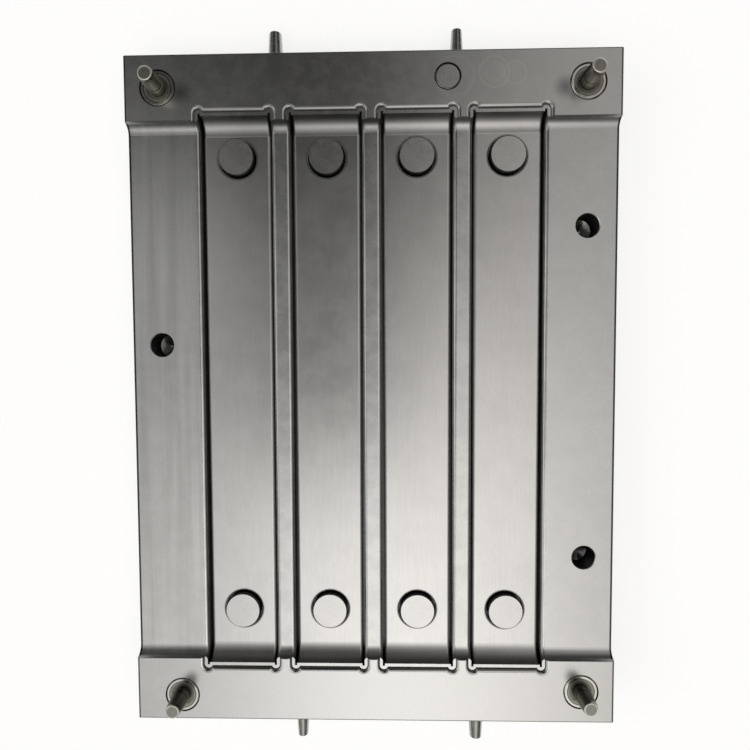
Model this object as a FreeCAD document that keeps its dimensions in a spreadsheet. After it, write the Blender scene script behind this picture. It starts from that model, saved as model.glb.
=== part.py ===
"""Lower half of a four-cavity compression mould, built as the toolroom would build it.

A steel plate with two raised end blocks carries four long cavity inserts side by side. Each insert
stands in a pocket, leaves a narrow slot along both of its long edges and climbs at both ends in a hollow
ramp. Two round core pins stand in each insert. Guide pins under screwed collars stand at the corners, one
of them off the pattern so that the halves close one way only. Handle pegs screw into the two ends.
Millimetres; +Y is the rear end, +Z is up, the origin is the middle of the underside.
"""
import FreeCAD, Part
import math
import os

import Sketcher
from FreeCAD import Placement, Rotation, Vector

DIMENSIONS = (
    # plate
    ("plate_width", 600), ("plate_length", 825), ("plate_thickness", 60), ("plate_chamfer", 1),
    ("step_height", 10), ("block_face", 333.7), ("land_ramp_radius", 13.2),
    # cavity pockets and the inserts in them
    ("cavity_pitch", 111.5), ("pocket_half", 44.3), ("pocket_end", 340.5), ("pocket_floor", 20),
    ("slot_width", 2.8), ("slot_floor", 32), ("relief_end", 343.4),
    ("cavity_depth", 7), ("insert_ramp_radius", 22), ("insert_edge_radius", 3.5),
    # rounded rims: along the lands, and round each end of a cavity in the blocks
    ("rim_radius", 4.7), ("rim_step", 0.4), ("land_rim_half", 48.8),
    ("recess_half", 52.3), ("recess_end", 348.8), ("recess_depth", 3.5), ("recess_start", 322),
    ("corner_radius", 9.4), ("corner_y", 342.8),
    # core pins
    ("core_rear_y", 293.5), ("core_front_y", -276.5), ("core_radius", 21.5), ("core_chamfer", 0.5),
    ("core_flange_radius", 26), ("core_flange_height", 5),
    ("core_ring_radius", 23.5), ("core_ring_floor", 33), ("core_ring_bevel", 1.8),
    # guide pins and their collars
    ("guide_x", 259), ("guide_y", 373), ("guide_offset_x", 16), ("guide_offset_y", 8),
    ("guide_shank_radius", 14), ("guide_shank_foot", 6), ("guide_seat_height", 48),
    ("guide_foot_radius", 19), ("guide_foot_height", 5), ("guide_shoulder_radius", 16.5),
    ("guide_radius", 11), ("guide_straight", 11), ("guide_height", 33), ("guide_nose_radius", 9.2),
    ("guide_nose_bevel", 0.9), ("collar_radius", 20.5), ("collar_bevel", 0.6),
    ("collar_relief_radius", 22), ("collar_relief_depth", 6),
    # smooth bores in the side lands, and the plug in the rear block
    ("bore_radius", 14.5), ("bore_depth", 30), ("bore_mouth", 15.3), ("bore_x", 264), ("bore_right_y", 206),
    ("bore_left_y", 63), ("drill_angle", 118),
    ("plug_x", 92), ("plug_y", 381.5), ("plug_radius", 14.6), ("plug_depth", 12), ("plug_bevel", 0.4),
    ("plug_relief_radius", 16), ("plug_relief_depth", 5),
    # handle pegs in the end faces
    ("peg_height", 30), ("peg_length", 40), ("peg_taper", 2.3), ("peg_large_radius", 9.9),
    ("peg_small_radius", 8.7), ("peg_bevel", 1), ("peg_thread_radius", 6), ("peg_thread_length", 26),
    ("peg_rear_left_x", -120.5), ("peg_rear_right_x", 106),
    ("peg_front_left_x", -94.5), ("peg_front_right_x", 133),
    # screws and dowels under the inserts
    ("screw_radius", 5), ("screw_length", 25), ("screw_head_radius", 8), ("screw_head_height", 10),
    ("screw_socket_half", 4), ("screw_socket_depth", 5), ("screw_seat", 11),
    ("screw_clearance", 5.5), ("screw_counterbore", 9), ("tapping_depth", 18), ("screw_pitch", 200),
    ("dowel_radius", 5), ("dowel_y", 120), ("dowel_foot", 8), ("dowel_length", 22),
)
CAVITIES = 4
SCREWS_PER_INSERT = 3
CLEAR = 5  # how far a cutter reaches past the face that it enters
AXIS_GAP = 1  # how far a turned cutter keeps from its own axis
RAMP_OVERRUN = 3  # degrees that the ramp's rim cutter turns past the top of the ramp
NEAR = 0.01  # edges this close to a stated place are at that place
LEAST_CUT = 1.0  # cubic millimetres; a cut that takes less has missed

doc = FreeCAD.newDocument("MouldHalf")
sheet = doc.addObject("Spreadsheet::Sheet", "Dimensions")
doc.recompute()


class Size:
    """A length with its number and the expression that works it out from the sheet."""

    def __init__(self, value, text=None):
        self.value = float(value)
        self.text = text or repr(self.value)

    def __add__(self, other):
        other = as_size(other)
        return Size(self.value + other.value, f"({self.text} + {other.text})")

    def __sub__(self, other):
        other = as_size(other)
        return Size(self.value - other.value, f"({self.text} - {other.text})")

    def __mul__(self, other):
        other = as_size(other)
        return Size(self.value * other.value, f"({self.text} * {other.text})")

    def __truediv__(self, other):
        other = as_size(other)
        return Size(self.value / other.value, f"({self.text} / {other.text})")

    def __neg__(self):
        return self * -1


def as_size(value):
    return value if isinstance(value, Size) else Size(value)


def root(size):
    return Size(math.sqrt(size.value), f"sqrt({size.text})")


def chord(radius, offset):
    """Half the chord of a circle at a distance from its centre."""
    return root(radius * radius - offset * offset)


class Dimensions:
    """The sheet's cells as sizes: d.plate_width is the cell with that alias."""

    def __init__(self, rows):
        for number, (alias, value) in enumerate(rows, 1):
            sheet.set(f"A{number}", alias)
            sheet.set(f"B{number}", str(value))
            sheet.setAlias(f"B{number}", alias)
            setattr(self, alias, Size(value, f"Dimensions.{alias}"))


d = Dimensions(DIMENSIONS)
doc.recompute()

TOP = d.plate_thickness
LAND = TOP - d.step_height
SHELF = TOP - d.recess_depth
FLOOR = LAND - d.cavity_depth
# where the hollow ramps leave the flat land and the flat cavity floor
LAND_RAMP_START = d.block_face - chord(d.land_ramp_radius, d.land_ramp_radius - d.step_height)
INSERT_RAMP_START = d.pocket_end - chord(d.insert_ramp_radius, d.insert_ramp_radius - (SHELF - FLOOR))
ORIGIN = as_size(0)


# ---------------------------------------------------------------- helpers

def bind(thing, path, size):
    thing.setExpression(path, as_size(size).text)


def new_body(label):
    body = doc.addObject("PartDesign::Body", label)
    body.Label = label
    return body


def place(body, x=ORIGIN, y=ORIGIN, z=ORIGIN, rotation=Rotation()):
    body.Placement = Placement(Vector(0, 0, 0), rotation)
    for axis, size in zip("xyz", (x, y, z)):
        bind(body, f"Placement.Base.{axis}", size)


def sketch_on(body, role, name, offset=ORIGIN):
    """A sketch on one of the body's origin planes, moved along that plane's normal."""
    plane = next(item for item in body.Origin.OriginFeatures if item.Role == role)
    sketch = body.newObject("Sketcher::SketchObject", name)
    sketch.AttachmentSupport = [(plane, "")]
    sketch.MapMode = "FlatFace"
    bind(sketch, "AttachmentOffset.Base.z", offset)
    return sketch


def hold_point(sketch, geometry, point, x, y):
    for kind, size in (("DistanceX", as_size(x)), ("DistanceY", as_size(y))):
        number = sketch.addConstraint(Sketcher.Constraint(kind, -1, 1, geometry, point, size.value))
        sketch.setExpression(f"Constraints[{number}]", size.text)


def add_outline(sketch, corners, arcs=None):
    """A closed outline. arcs gives, for the side that starts at a corner, its centre and its radius."""
    arcs = arcs or {}
    corners = [(as_size(x), as_size(y)) for x, y in corners]
    ends = []
    for number, (start, end) in enumerate(zip(corners, corners[1:] + corners[:1])):
        start_point = Vector(start[0].value, start[1].value, 0)
        end_point = Vector(end[0].value, end[1].value, 0)
        if number not in arcs:
            side = sketch.addGeometry(Part.LineSegment(start_point, end_point), False)
            ends.append((side, 1, 2))
            continue
        centre_x, centre_y, radius = (as_size(size) for size in arcs[number])
        centre = Vector(centre_x.value, centre_y.value, 0)
        angles = [math.atan2(p.y - centre.y, p.x - centre.x) for p in (start_point, end_point)]
        forward = (angles[1] - angles[0]) % (2 * math.pi) < math.pi
        first, last = angles if forward else reversed(angles)
        circle = Part.Circle(centre, Vector(0, 0, 1), radius.value)
        side = sketch.addGeometry(Part.ArcOfCircle(circle, first, last), False)
        ends.append((side, 1, 2) if forward else (side, 2, 1))
        held = sketch.addConstraint(Sketcher.Constraint("Radius", side, radius.value))
        sketch.setExpression(f"Constraints[{held}]", radius.text)
    for (side, _, last), (after, first, _) in zip(ends, ends[1:] + ends[:1]):
        sketch.addConstraint(Sketcher.Constraint("Coincident", side, last, after, first))
    for (side, first, _), (x, y) in zip(ends, corners):
        hold_point(sketch, side, first, x, y)


def add_box(sketch, x_low, x_high, y_low, y_high):
    add_outline(sketch, [(x_low, y_low), (x_high, y_low), (x_high, y_high), (x_low, y_high)])


def add_circle(sketch, x, y, radius):
    x, y, radius = as_size(x), as_size(y), as_size(radius)
    centre = Vector(x.value, y.value, 0)
    circle = sketch.addGeometry(Part.Circle(centre, Vector(0, 0, 1), radius.value), False)
    hold_point(sketch, circle, 3, x, y)
    held = sketch.addConstraint(Sketcher.Constraint("Radius", circle, radius.value))
    sketch.setExpression(f"Constraints[{held}]", radius.text)


def add_axis(sketch, start, end):
    """A construction line that a turned feature takes as its axis."""
    points = [Vector(as_size(x).value, as_size(y).value, 0) for x, y in (start, end)]
    line = sketch.addGeometry(Part.LineSegment(*points), True)
    for point, (x, y) in enumerate((start, end), 1):
        hold_point(sketch, line, point, x, y)


def volume_of(body):
    doc.recompute()
    return body.Shape.Volume if not body.Shape.isNull() else 0.0


def must_change(body, before, feature):
    """A cut that misses its solid fails in silence, so the volume is compared."""
    after = volume_of(body)
    if abs(after - before) < LEAST_CUT:
        raise RuntimeError(f"{body.Label}: {feature.Name} changed nothing")


def pad(body, sketch, name, length, midplane=False):
    feature = body.newObject("PartDesign::Pad", name)
    feature.Profile = sketch
    feature.Midplane = midplane
    bind(feature, "Length", length)
    doc.recompute()
    return feature


def pocket(body, sketch, name, depth=None, reverse=False, both_ways=False):
    """Cuts against the sketch's normal, or along it where reverse is set.

    Without a depth it goes through everything."""
    before = volume_of(body)
    feature = body.newObject("PartDesign::Pocket", name)
    feature.Profile = sketch
    feature.Reversed = reverse
    if depth is None:
        feature.Type = "ThroughAll"
        feature.Midplane = both_ways
    else:
        bind(feature, "Length", depth)
    must_change(body, before, feature)
    return feature


def groove(body, sketch, name, angle=360, reverse=False):
    before = volume_of(body)
    feature = body.newObject("PartDesign::Groove", name)
    feature.Profile = sketch
    feature.ReferenceAxis = (sketch, ["Axis0"])
    feature.Reversed = reverse
    feature.Angle = angle
    must_change(body, before, feature)
    return feature


def turned(body, profile, name="turned"):
    """A solid of revolution about the body's own Z axis from (radius, height) corners."""
    sketch = sketch_on(body, "XZ_Plane", f"{name}_profile")
    add_outline(sketch, profile)
    feature = body.newObject("PartDesign::Revolution", name)
    feature.Profile = sketch
    feature.ReferenceAxis = (sketch, ["V_Axis"])
    feature.Angle = 360
    doc.recompute()
    return feature


def edges_where(feature, test):
    return [f"Edge{number}" for number, edge in enumerate(feature.Shape.Edges, 1) if test(edge)]


def dress_edges(body, base, kind, name, edges, size):
    if not edges:
        raise RuntimeError(f"{body.Label}: no edges for {name}")
    feature = body.newObject(f"PartDesign::{kind}", name)
    feature.Base = (base, edges)
    bind(feature, "Size" if kind == "Chamfer" else "Radius", size)
    doc.recompute()
    return feature


def cavity_x(number):
    """The middle of a cavity, counted from the left."""
    return d.cavity_pitch * (number - (CAVITIES - 1) / 2)


def guide_places():
    """The four guide pins; the front left one stands off the pattern."""
    return {
        "rear_left": (-d.guide_x, d.guide_y),
        "rear_right": (d.guide_x, d.guide_y),
        "front_left": (-(d.guide_x - d.guide_offset_x), -(d.guide_y + d.guide_offset_y)),
        "front_right": (d.guide_x, -d.guide_y),
    }


def peg_places():
    """Each peg's place along its end, the end it is in (1 rear, -1 front) and its radius at the face."""
    return {
        "rear_left": (d.peg_rear_left_x, 1, d.peg_large_radius),
        "rear_right": (d.peg_rear_right_x, 1, d.peg_small_radius),
        "front_left": (d.peg_front_left_x, -1, d.peg_small_radius),
        "front_right": (d.peg_front_right_x, -1, d.peg_large_radius),
    }


# ---------------------------------------------------------------- plate

def rim_corner(edge, top, bottom):
    """The rounded rim in section: from its outer edge down to a lower level.

    Returns the two ends and the arc between them. The edge lies rim_step below the face around it."""
    centre_height = top - d.rim_step - d.rim_radius
    inner = edge - chord(d.rim_radius, bottom - centre_height)
    return (edge, top - d.rim_step), (inner, bottom), (edge, centre_height, d.rim_radius)


def add_throat(sketch, middle, half, top, bottom, clear_top):
    """A channel's section with a rounded rim on both sides, open to the top."""
    (edge, rim_top), (inner, low), (centre, centre_height, radius) = rim_corner(half, top, bottom)
    corners = [
        (middle - edge, clear_top), (middle - edge, rim_top), (middle - inner, low),
        (middle + inner, low), (middle + edge, rim_top), (middle + edge, clear_top),
    ]
    add_outline(sketch, corners, {
        1: (middle - centre, centre_height, radius),
        3: (middle + centre, centre_height, radius),
    })


def make_blank(body):
    """The plate's stock, bevelled all round."""
    sketch = sketch_on(body, "XY_Plane", "stock_outline")
    add_box(sketch, -d.plate_width / 2, d.plate_width / 2, -d.plate_length / 2, d.plate_length / 2)
    stock = pad(body, sketch, "stock", d.plate_thickness)
    dress_edges(body, stock, "Chamfer", "stock_bevel", edges_where(stock, lambda edge: True), d.plate_chamfer)


def cut_land(body):
    """The parting land between the end blocks, with a hollow ramp up to each block."""
    sketch = sketch_on(body, "YZ_Plane", "land_section")
    radius = d.land_ramp_radius
    corners = [
        (-d.block_face, TOP + CLEAR), (-d.block_face, TOP), (-LAND_RAMP_START, LAND),
        (LAND_RAMP_START, LAND), (d.block_face, TOP), (d.block_face, TOP + CLEAR),
    ]
    add_outline(sketch, corners, {
        1: (-LAND_RAMP_START, LAND + radius, radius),
        3: (LAND_RAMP_START, LAND + radius, radius),
    })
    pocket(body, sketch, "land", both_ways=True)


def cut_cavity(body):
    """Everything that belongs to the first cavity; returns the features that the row repeats."""
    middle = cavity_x(0)
    made = []

    sketch = sketch_on(body, "XY_Plane", "pocket_outline", TOP)
    add_box(sketch, middle - d.pocket_half, middle + d.pocket_half, -d.pocket_end, d.pocket_end)
    made.append(pocket(body, sketch, "insert_pocket", TOP - d.pocket_floor))

    # the slots run on a little into the blocks, past the ends of the insert
    sketch = sketch_on(body, "XY_Plane", "relief_outline", TOP)
    for side in (-1, 1):
        for end in (-1, 1):
            x_near = middle + (d.pocket_half - d.slot_width) * side
            x_far = middle + d.pocket_half * side
            add_box(sketch, x_near, x_far, (d.pocket_end - CLEAR) * end, d.relief_end * end)
    made.append(pocket(body, sketch, "slot_relief", TOP - d.slot_floor))

    # the rounded rim along the land
    rim_bottom = LAND - d.rim_step - d.rim_radius
    sketch = sketch_on(body, "XZ_Plane", "land_rim_section", LAND_RAMP_START)
    add_throat(sketch, middle, d.land_rim_half, LAND, rim_bottom, TOP + CLEAR)
    made.append(pocket(body, sketch, "land_rim", LAND_RAMP_START * 2))

    ramp_angle = math.degrees(math.acos(1 - d.step_height.value / d.land_ramp_radius.value)) + RAMP_OVERRUN
    for end, name in ((1, "rear"), (-1, "front")):
        # the same rim carried up the ramp, turned about the ramp's own axis
        axis_height = LAND + d.land_ramp_radius
        sketch = sketch_on(body, "XZ_Plane", f"ramp_rim_section_{name}", LAND_RAMP_START * -end)
        add_throat(sketch, middle, d.land_rim_half, LAND, rim_bottom, axis_height - AXIS_GAP)
        add_axis(sketch, (middle - d.land_rim_half, axis_height), (middle + d.land_rim_half, axis_height))
        made.append(groove(body, sketch, f"ramp_rim_{name}", ramp_angle, reverse=end < 0))

        # the recess round the cavity's end: between the corners, round both corners, and across the end
        sketch = sketch_on(body, "XZ_Plane", f"recess_section_{name}", d.corner_y * -end)
        add_throat(sketch, middle, d.recess_half, TOP, SHELF, TOP + CLEAR)
        made.append(pocket(body, sketch, f"recess_{name}", d.corner_y - d.recess_start, reverse=end > 0))

        for side, hand in ((-1, "left"), (1, "right")):
            axis_x = middle + (d.recess_half - d.corner_radius) * side
            (edge, rim_top), (inner, low), arc = rim_corner(d.corner_radius, TOP, SHELF)
            centre, centre_height, radius = arc
            sketch = sketch_on(body, "XZ_Plane", f"corner_section_{name}_{hand}", d.corner_y * -end)
            corners = [(axis_x, low), (axis_x + inner, low), (axis_x + edge, rim_top),
                       (axis_x + edge, TOP + CLEAR), (axis_x, TOP + CLEAR)]
            add_outline(sketch, corners, {1: (axis_x + centre, centre_height, radius)})
            add_axis(sketch, (axis_x, low), (axis_x, TOP + CLEAR))
            made.append(groove(body, sketch, f"corner_{name}_{hand}"))

        (edge, rim_top), (inner, low), arc = rim_corner(d.recess_end, TOP, SHELF)
        centre, centre_height, radius = arc
        straight_half = d.recess_half - d.corner_radius
        sketch = sketch_on(body, "YZ_Plane", f"end_section_{name}", middle + straight_half)
        corners = [(d.pocket_end * end, low), (inner * end, low), (edge * end, rim_top),
                   (edge * end, TOP + CLEAR), (d.pocket_end * end, TOP + CLEAR)]
        add_outline(sketch, corners, {1: (centre * end, centre_height, radius)})
        made.append(pocket(body, sketch, f"end_rim_{name}", straight_half * 2))
    return made


def screw_ys():
    """The insert's screws along its length."""
    return [d.screw_pitch * (number - (SCREWS_PER_INSERT - 1) / 2) for number in range(SCREWS_PER_INSERT)]


def cut_fastener_holes(body):
    """Counterbored screw holes and dowel holes under the first insert; returns the features to repeat."""
    middle = cavity_x(0)
    made = []
    for name, radius, depth in (("screw_hole", d.screw_clearance, d.pocket_floor + CLEAR),
                                ("screw_counterbore", d.screw_counterbore, d.screw_seat)):
        sketch = sketch_on(body, "XY_Plane", f"{name}_centres")
        for y in screw_ys():
            add_circle(sketch, middle, y, radius)
        made.append(pocket(body, sketch, name, depth, reverse=True))
    sketch = sketch_on(body, "XY_Plane", "dowel_hole_centres", d.pocket_floor)
    for end in (-1, 1):
        add_circle(sketch, middle, d.dowel_y * end, d.dowel_radius)
    made.append(pocket(body, sketch, "dowel_hole", d.pocket_floor - d.dowel_foot))
    return made


def repeat_in_row(body, features):
    before = volume_of(body)
    pattern = body.newObject("PartDesign::LinearPattern", "cavity_row")
    pattern.Originals = features
    x_axis = next(item for item in body.Origin.OriginFeatures if item.Role == "X_Axis")
    pattern.Direction = (x_axis, [""])
    pattern.Occurrences = CAVITIES
    bind(pattern, "Length", d.cavity_pitch * (CAVITIES - 1))
    body.Tip = pattern
    must_change(body, before, pattern)


def cut_guide_seats(body):
    for name, radius, depth in (("guide_bore", d.guide_shank_radius, None),
                                ("collar_seat", d.collar_radius, TOP - d.guide_seat_height),
                                ("collar_relief", d.collar_relief_radius, d.collar_relief_depth)):
        sketch = sketch_on(body, "XY_Plane", f"{name}_centres", TOP)
        for x, y in guide_places().values():
            add_circle(sketch, x, y, radius)
        pocket(body, sketch, name, depth)


def cut_side_bores(body):
    """Three drilled and reamed blind bores with bevelled mouths in the side lands."""
    drill_rate = math.tan(math.radians(d.drill_angle.value / 2))
    places = ((-d.bore_x, d.bore_left_y, "left"), (d.bore_x, d.bore_right_y, "right_rear"),
              (d.bore_x, -d.bore_right_y, "right_front"))
    for x, y, name in places:
        sketch = sketch_on(body, "XZ_Plane", f"bore_section_{name}", -y)
        mouth_depth = d.bore_mouth - d.bore_radius
        bottom = LAND - d.bore_depth
        wall = x + d.bore_radius
        mouth = x + d.bore_mouth
        corners = [(x, bottom - d.bore_radius / drill_rate), (wall, bottom), (wall, LAND - mouth_depth),
                   (mouth, LAND), (mouth, LAND + CLEAR), (x, LAND + CLEAR)]
        add_outline(sketch, corners)
        add_axis(sketch, (x, LAND - d.bore_depth), (x, LAND))
        groove(body, sketch, f"bore_{name}")


def cut_plug_seat(body):
    for name, radius, depth in (("plug_seat", d.plug_radius, d.plug_depth),
                                ("plug_relief", d.plug_relief_radius, d.plug_relief_depth)):
        sketch = sketch_on(body, "XY_Plane", f"{name}_centre", TOP)
        add_circle(sketch, d.plug_x, d.plug_y, radius)
        pocket(body, sketch, name, depth)


def cut_peg_holes(body):
    for name, (x, end, _) in peg_places().items():
        sketch = sketch_on(body, "XZ_Plane", f"peg_hole_centre_{name}", d.plate_length / 2 * -end)
        add_circle(sketch, x, d.peg_height, d.peg_thread_radius)
        pocket(body, sketch, f"peg_hole_{name}", d.peg_thread_length, reverse=end > 0)


def make_plate():
    body = new_body("mould_plate")
    make_blank(body)
    cut_land(body)
    features = cut_cavity(body) + cut_fastener_holes(body)
    repeat_in_row(body, features)
    cut_guide_seats(body)
    cut_side_bores(body)
    cut_plug_seat(body)
    cut_peg_holes(body)
    place(body)
    return body


# ---------------------------------------------------------------- pieces in the plate

def make_insert(number):
    """A cavity insert: a bar on a wider foot, with a hollow ramp at each end and two core pin seats."""
    body = new_body(f"cavity_insert_{number + 1}")
    sketch = sketch_on(body, "YZ_Plane", "side_view")
    radius = d.insert_ramp_radius
    corners = [
        (-d.pocket_end, d.pocket_floor), (d.pocket_end, d.pocket_floor), (d.pocket_end, SHELF),
        (INSERT_RAMP_START, FLOOR), (-INSERT_RAMP_START, FLOOR), (-d.pocket_end, SHELF),
    ]
    add_outline(sketch, corners, {
        2: (INSERT_RAMP_START, FLOOR + radius, radius),
        4: (-INSERT_RAMP_START, FLOOR + radius, radius),
    })
    pad(body, sketch, "bar", d.pocket_half * 2, midplane=True)

    sketch = sketch_on(body, "XZ_Plane", "slot_section")
    half = d.pocket_half - d.slot_width
    for side in (-1, 1):
        add_box(sketch, half * side, (d.pocket_half + CLEAR) * side, d.slot_floor, TOP)
    slots = pocket(body, sketch, "side_slots", both_ways=True)

    def is_long_top_edge(edge):
        box = edge.BoundBox
        on_side = box.XLength < NEAR and abs(abs(box.XMin) - half.value) < NEAR
        return on_side and box.ZMin > FLOOR.value - NEAR and box.YLength > CLEAR

    top_edges = edges_where(slots, is_long_top_edge)
    dress_edges(body, slots, "Fillet", "edge_rounding", top_edges, d.insert_edge_radius)

    # each core's bore, the flange's seat under it and the ring slot round its head
    levels = (
        ("core_bores", d.core_radius, ORIGIN, None),
        ("core_flange_seats", d.core_flange_radius, d.pocket_floor, d.core_flange_height),
        ("core_rings", d.core_ring_radius, d.core_ring_floor, None),
    )
    for name, radius, level, depth in levels:
        sketch = sketch_on(body, "XY_Plane", f"{name}_centres", level)
        for y in (d.core_rear_y, d.core_front_y):
            add_circle(sketch, 0, y, radius)
        rings = pocket(body, sketch, name, depth, reverse=True)

    def is_ring_mouth(edge):
        if edge.Curve.TypeId != "Part::GeomCircle":
            return False
        box = edge.BoundBox
        on_floor = abs(box.ZMin - FLOOR.value) < NEAR and box.ZLength < NEAR
        return on_floor and abs(edge.Curve.Radius - d.core_ring_radius.value) < NEAR

    mouths = edges_where(rings, is_ring_mouth)
    dress_edges(body, rings, "Chamfer", "ring_mouth_bevel", mouths, d.core_ring_bevel)

    sketch = sketch_on(body, "XY_Plane", "tapping_centres", d.pocket_floor)
    for y in screw_ys():
        add_circle(sketch, 0, y, d.screw_radius)
    pocket(body, sketch, "tapped_holes", d.tapping_depth, reverse=True)
    sketch = sketch_on(body, "XY_Plane", "dowel_centres", d.pocket_floor)
    for end in (-1, 1):
        add_circle(sketch, 0, d.dowel_y * end, d.dowel_radius)
    pocket(body, sketch, "dowel_holes", d.dowel_foot + d.dowel_length - d.pocket_floor, reverse=True)
    place(body, x=cavity_x(number))
    return body


def make_core_pin(number, name, y):
    """A round core held by its flange under the insert."""
    body = new_body(f"core_pin_{number + 1}_{name}")
    head, flange, bevel = d.core_radius, d.core_flange_radius, d.core_chamfer
    height = LAND - d.pocket_floor
    turned(body, [(0, 0), (flange, 0), (flange, d.core_flange_height), (head, d.core_flange_height),
                  (head, height - bevel), (head - bevel, height), (0, height)])
    place(body, cavity_x(number), y, d.pocket_floor)
    return body


def make_guide_pin(name, x, y):
    """A guide pin: shank, foot under the collar, shoulder inside it, straight guide and tapered nose."""
    body = new_body(f"guide_pin_{name}")
    seat = d.guide_seat_height - d.guide_shank_foot
    face = TOP - d.guide_shank_foot
    tip = face + d.guide_height
    foot_top = seat + d.guide_foot_height
    bevel = d.guide_nose_bevel
    turned(body, [
        (0, 0), (d.guide_shank_radius, 0), (d.guide_shank_radius, seat), (d.guide_foot_radius, seat),
        (d.guide_foot_radius, foot_top), (d.guide_shoulder_radius, foot_top), (d.guide_shoulder_radius, face),
        (d.guide_radius, face), (d.guide_radius, face + d.guide_straight), (d.guide_nose_radius, tip - bevel),
        (d.guide_nose_radius - bevel, tip), (0, tip),
    ])
    place(body, x, y, d.guide_shank_foot)
    return body


def make_collar(name, x, y):
    """The screwed collar that holds the guide pin's foot down."""
    body = new_body(f"guide_collar_{name}")
    height = TOP - d.guide_seat_height
    bevel = d.collar_bevel
    turned(body, [
        (d.guide_foot_radius, 0), (d.collar_radius, 0), (d.collar_radius, height - bevel),
        (d.collar_radius - bevel, height), (d.guide_shoulder_radius, height),
        (d.guide_shoulder_radius, d.guide_foot_height), (d.guide_foot_radius, d.guide_foot_height),
    ])
    place(body, x, y, d.guide_seat_height)
    return body


def make_plug():
    """The flush plug in the rear block."""
    body = new_body("blanking_plug")
    bevel = d.plug_bevel
    turned(body, [(0, 0), (d.plug_radius, 0), (d.plug_radius, d.plug_depth - bevel),
                  (d.plug_radius - bevel, d.plug_depth), (0, d.plug_depth)])
    place(body, d.plug_x, d.plug_y, TOP - d.plug_depth)
    return body


def make_peg(name, x, end, radius):
    """A tapered handle peg with a threaded spigot, square out of the end face."""
    body = new_body(f"handle_peg_{name}")
    tip_radius = radius - d.peg_taper
    turned(body, [
        (0, -d.peg_thread_length), (d.peg_thread_radius, -d.peg_thread_length), (d.peg_thread_radius, 0),
        (radius, 0), (tip_radius, d.peg_length - d.peg_bevel), (tip_radius - d.peg_bevel, d.peg_length),
        (0, d.peg_length),
    ])
    place(body, x, d.plate_length / 2 * end, d.peg_height, Rotation(Vector(1, 0, 0), -90 * end))
    return body


# ---------------------------------------------------------------- fasteners

def make_screw(label):
    """A socket-head cap screw, head down; its local origin is the middle of the head's outer face."""
    body = new_body(label)
    head, shank = d.screw_head_radius, d.screw_radius
    head_top = d.screw_head_height
    foot = head_top + d.screw_length
    turned(body, [(0, 0), (head, 0), (head, head_top), (shank, head_top), (shank, foot), (0, foot)])
    sketch = sketch_on(body, "XY_Plane", "socket_outline")
    half = d.screw_socket_half
    corner = half * 2 / math.sqrt(3)
    add_outline(sketch, [(corner, 0), (corner / 2, half), (-corner / 2, half),
                         (-corner, 0), (-corner / 2, -half), (corner / 2, -half)])
    pocket(body, sketch, "hexagon_socket", d.screw_socket_depth, reverse=True)
    return body


def make_dowel(label):
    body = new_body(label)
    turned(body, [(0, 0), (d.dowel_radius, 0), (d.dowel_radius, d.dowel_length), (0, d.dowel_length)])
    return body


def make_group(label, make_one, places):
    """Like fasteners at several places, as one sub-part of separate solids."""
    members = []
    for number, (x, y, z) in enumerate(places, 1):
        member = make_one(f"{label}_{number}")
        place(member, x, y, z)
        members.append(member)
    group = doc.addObject("Part::Compound", label)
    group.Label = label
    group.Links = members
    doc.recompute()
    return group


def make_fasteners():
    screw_foot = d.screw_seat - d.screw_head_height
    columns = [cavity_x(number) for number in range(CAVITIES)]
    screws = [(x, y, screw_foot) for x in columns for y in screw_ys()]
    dowels = [(x, d.dowel_y * end, d.dowel_foot) for x in columns for end in (-1, 1)]
    return [make_group("insert_screws", make_screw, screws), make_group("insert_dowels", make_dowel, dowels)]


# ---------------------------------------------------------------- assembly

def build():
    parts = [make_plate()]
    for number in range(CAVITIES):
        parts.append(make_insert(number))
        parts.append(make_core_pin(number, "rear", d.core_rear_y))
        parts.append(make_core_pin(number, "front", d.core_front_y))
    for name, (x, y) in guide_places().items():
        parts.append(make_guide_pin(name, x, y))
        parts.append(make_collar(name, x, y))
    parts.append(make_plug())
    for name, (x, end, radius) in peg_places().items():
        parts.append(make_peg(name, x, end, radius))
    return parts + make_fasteners()


def check(parts):
    doc.recompute()
    for thing in doc.Objects:
        if "Invalid" in thing.State or "Error" in thing.State:
            raise RuntimeError(f"{thing.Label} failed: {thing.State}")
    for part in parts:
        if part.Shape.isNull() or not part.Shape.isValid() or not part.Shape.Solids:
            raise RuntimeError(f"{part.Label} has no valid solid")


def write(parts):
    os.makedirs("parts", exist_ok=True)
    for part in parts:
        part.Shape.exportStep(f"parts/{part.Label}.step")
        print(f"{part.Label}: {len(part.Shape.Solids)} solid(s), {part.Shape.Volume / 1000:.1f} cm3")


built = build()
check(built)
write(built)
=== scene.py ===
"""Finishes for a four-cavity compression mould half: ground and milled steel, turned pins, a studio stage."""

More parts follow.
